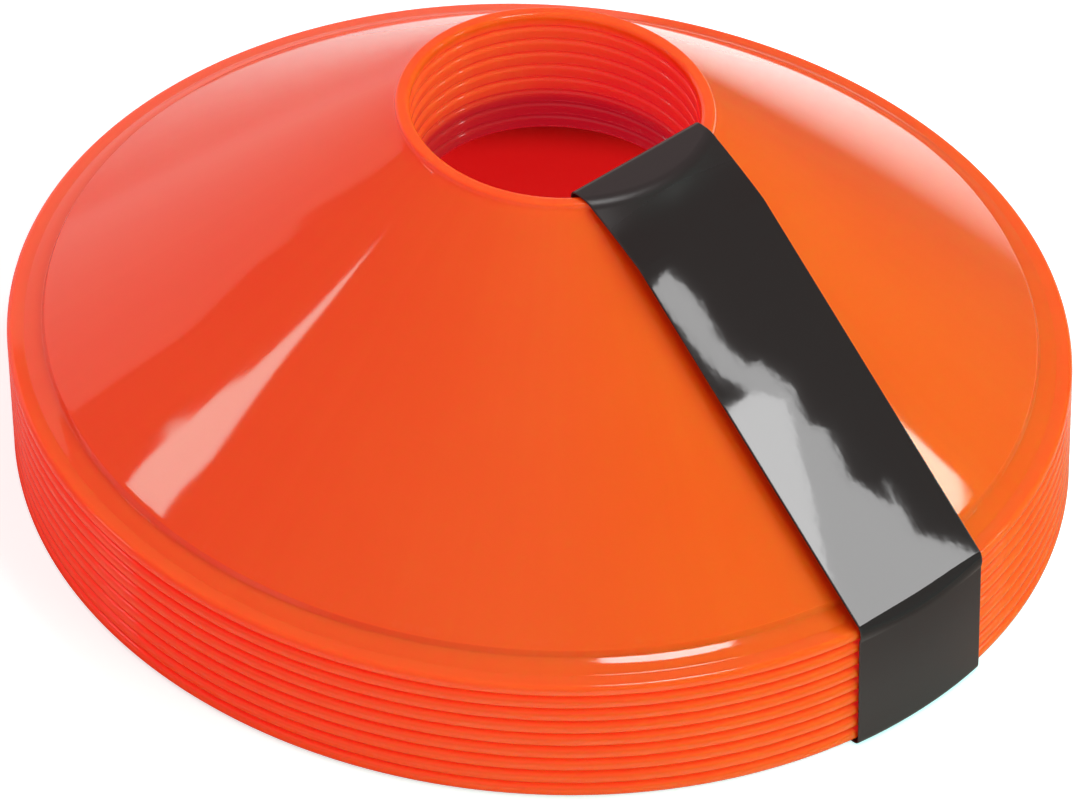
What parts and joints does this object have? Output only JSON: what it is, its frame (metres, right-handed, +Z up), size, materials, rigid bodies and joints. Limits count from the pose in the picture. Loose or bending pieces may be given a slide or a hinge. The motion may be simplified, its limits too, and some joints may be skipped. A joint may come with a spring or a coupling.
{
  "type": "stack of marker cones",
  "caption": "Nested stack of low saucer-shaped sports marker cones with open tops, tied by a flat black band that loops from the bore over the slope and rims.",
  "frame": {"origin": "centre of the lowest cone's rim, on the plane that the stack stands on", "axes": "+Z up along the cones' axes, +X towards the band; the stack is mirrored in the XZ plane"},
  "size_m": [0.1928, 0.19, 0.0756],
  "materials": {
    "orange_plastic": "gloss",
    "black_band": "gloss"
  },
  "bodies": {
    "bottom_cone": {"bottom_cone": "orange_plastic"},
    "cone_2": {"cone_2": "orange_plastic"},
    "cone_3": {"cone_3": "orange_plastic"},
    "cone_4": {"cone_4": "orange_plastic"},
    "cone_5": {"cone_5": "orange_plastic"},
    "cone_6": {"cone_6": "orange_plastic"},
    "cone_7": {"cone_7": "orange_plastic"},
    "cone_8": {"cone_8": "orange_plastic"},
    "top_cone": {"top_cone": "orange_plastic"},
    "tie_band": {"tie_band": "black_band"}
  },
  "joints": [
    {"name": "cone_2_turn", "type": "hinge", "parent": "bottom_cone", "child": "cone_2", "pos_m": [-0.00025, 0, 0], "axis": [0, 0, 1], "continuous": true},
    {"name": "cone_3_turn", "type": "hinge", "parent": "bottom_cone", "child": "cone_3", "pos_m": [-0.0005, 0, 0], "axis": [0, 0, 1], "continuous": true},
    {"name": "cone_4_turn", "type": "hinge", "parent": "bottom_cone", "child": "cone_4", "pos_m": [-0.00075, 0, 0], "axis": [0, 0, 1], "continuous": true},
    {"name": "cone_5_turn", "type": "hinge", "parent": "bottom_cone", "child": "cone_5", "pos_m": [-0.001, 0, 0], "axis": [0, 0, 1], "continuous": true},
    {"name": "cone_6_turn", "type": "hinge", "parent": "bottom_cone", "child": "cone_6", "pos_m": [-0.00125, 0, 0], "axis": [0, 0, 1], "continuous": true},
    {"name": "cone_7_turn", "type": "hinge", "parent": "bottom_cone", "child": "cone_7", "pos_m": [-0.0015, 0, 0], "axis": [0, 0, 1], "continuous": true},
    {"name": "cone_8_turn", "type": "hinge", "parent": "bottom_cone", "child": "cone_8", "pos_m": [-0.00175, 0, 0], "axis": [0, 0, 1], "continuous": true},
    {"name": "top_cone_turn", "type": "hinge", "parent": "bottom_cone", "child": "top_cone", "pos_m": [-0.002, 0, 0], "axis": [0, 0, 1], "continuous": true},
    {"name": "band_shift", "type": "hinge", "parent": "bottom_cone", "child": "tie_band", "pos_m": [-0.001, 0, 0], "axis": [0, 0, 1], "range_deg": [-15, 15]}
  ]
}
